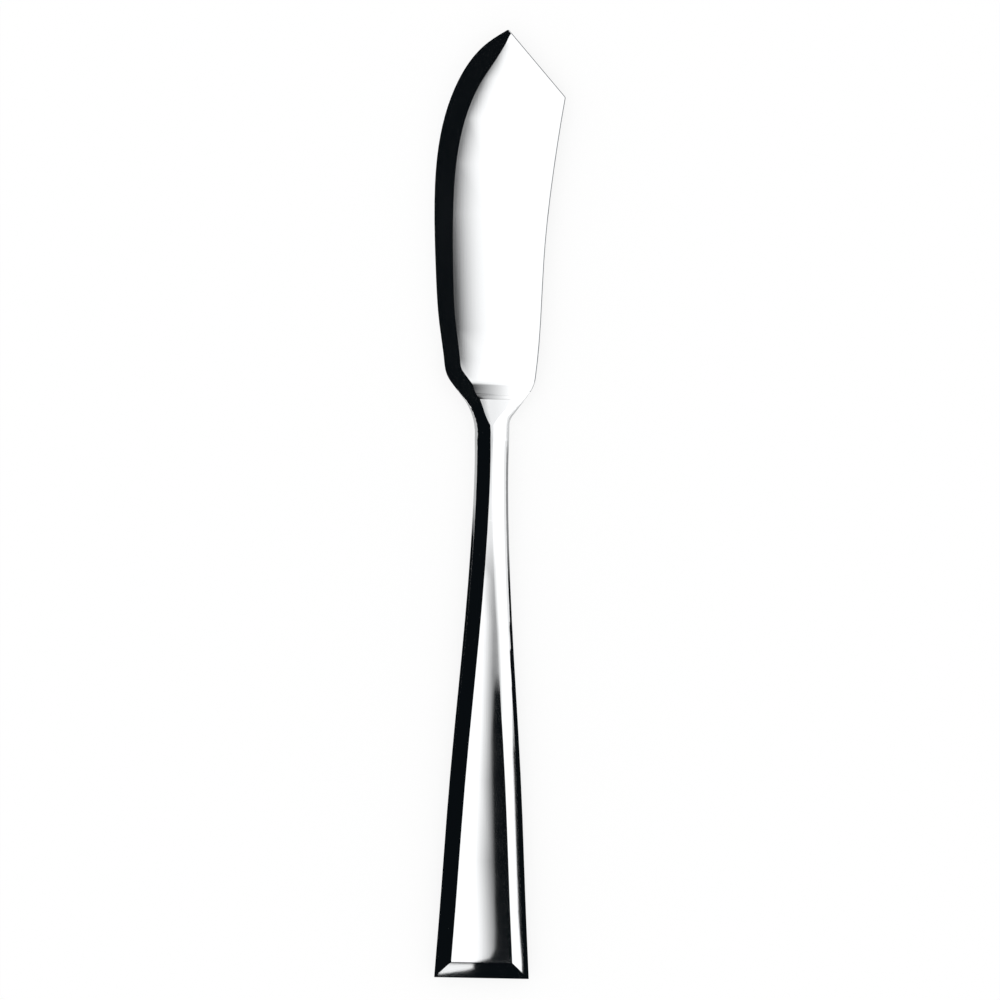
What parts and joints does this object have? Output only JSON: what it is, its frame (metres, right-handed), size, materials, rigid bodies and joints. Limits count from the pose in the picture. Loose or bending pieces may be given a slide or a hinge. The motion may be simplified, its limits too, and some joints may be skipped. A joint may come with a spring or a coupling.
{
  "type": "fish knife",
  "caption": "Fish knife with a broad blade, bevelled along its back and clipped to a point, and a hollow faceted handle that flares to a bevelled butt.",
  "frame": {"origin": "on the flat back face of the handle, on the handle's axis, 60 mm from the butt", "axes": "+Y towards the tip of the blade, +Z out of the front face, square to the blade, +X towards the cutting edge"},
  "size_m": [0.0286, 0.2099, 0.007],
  "materials": {
    "blade_steel": "mirror polished stainless steel",
    "front_shell_steel": "mirror polished stainless steel",
    "back_shell_steel": "mirror polished stainless steel",
    "handle_cement": "set handle cement, matt"
  },
  "bodies": {
    "root": {"blade": "blade_steel", "handle_front_shell": "front_shell_steel", "handle_back_shell": "back_shell_steel", "handle_filling": "handle_cement"}
  },
  "joints": []
}
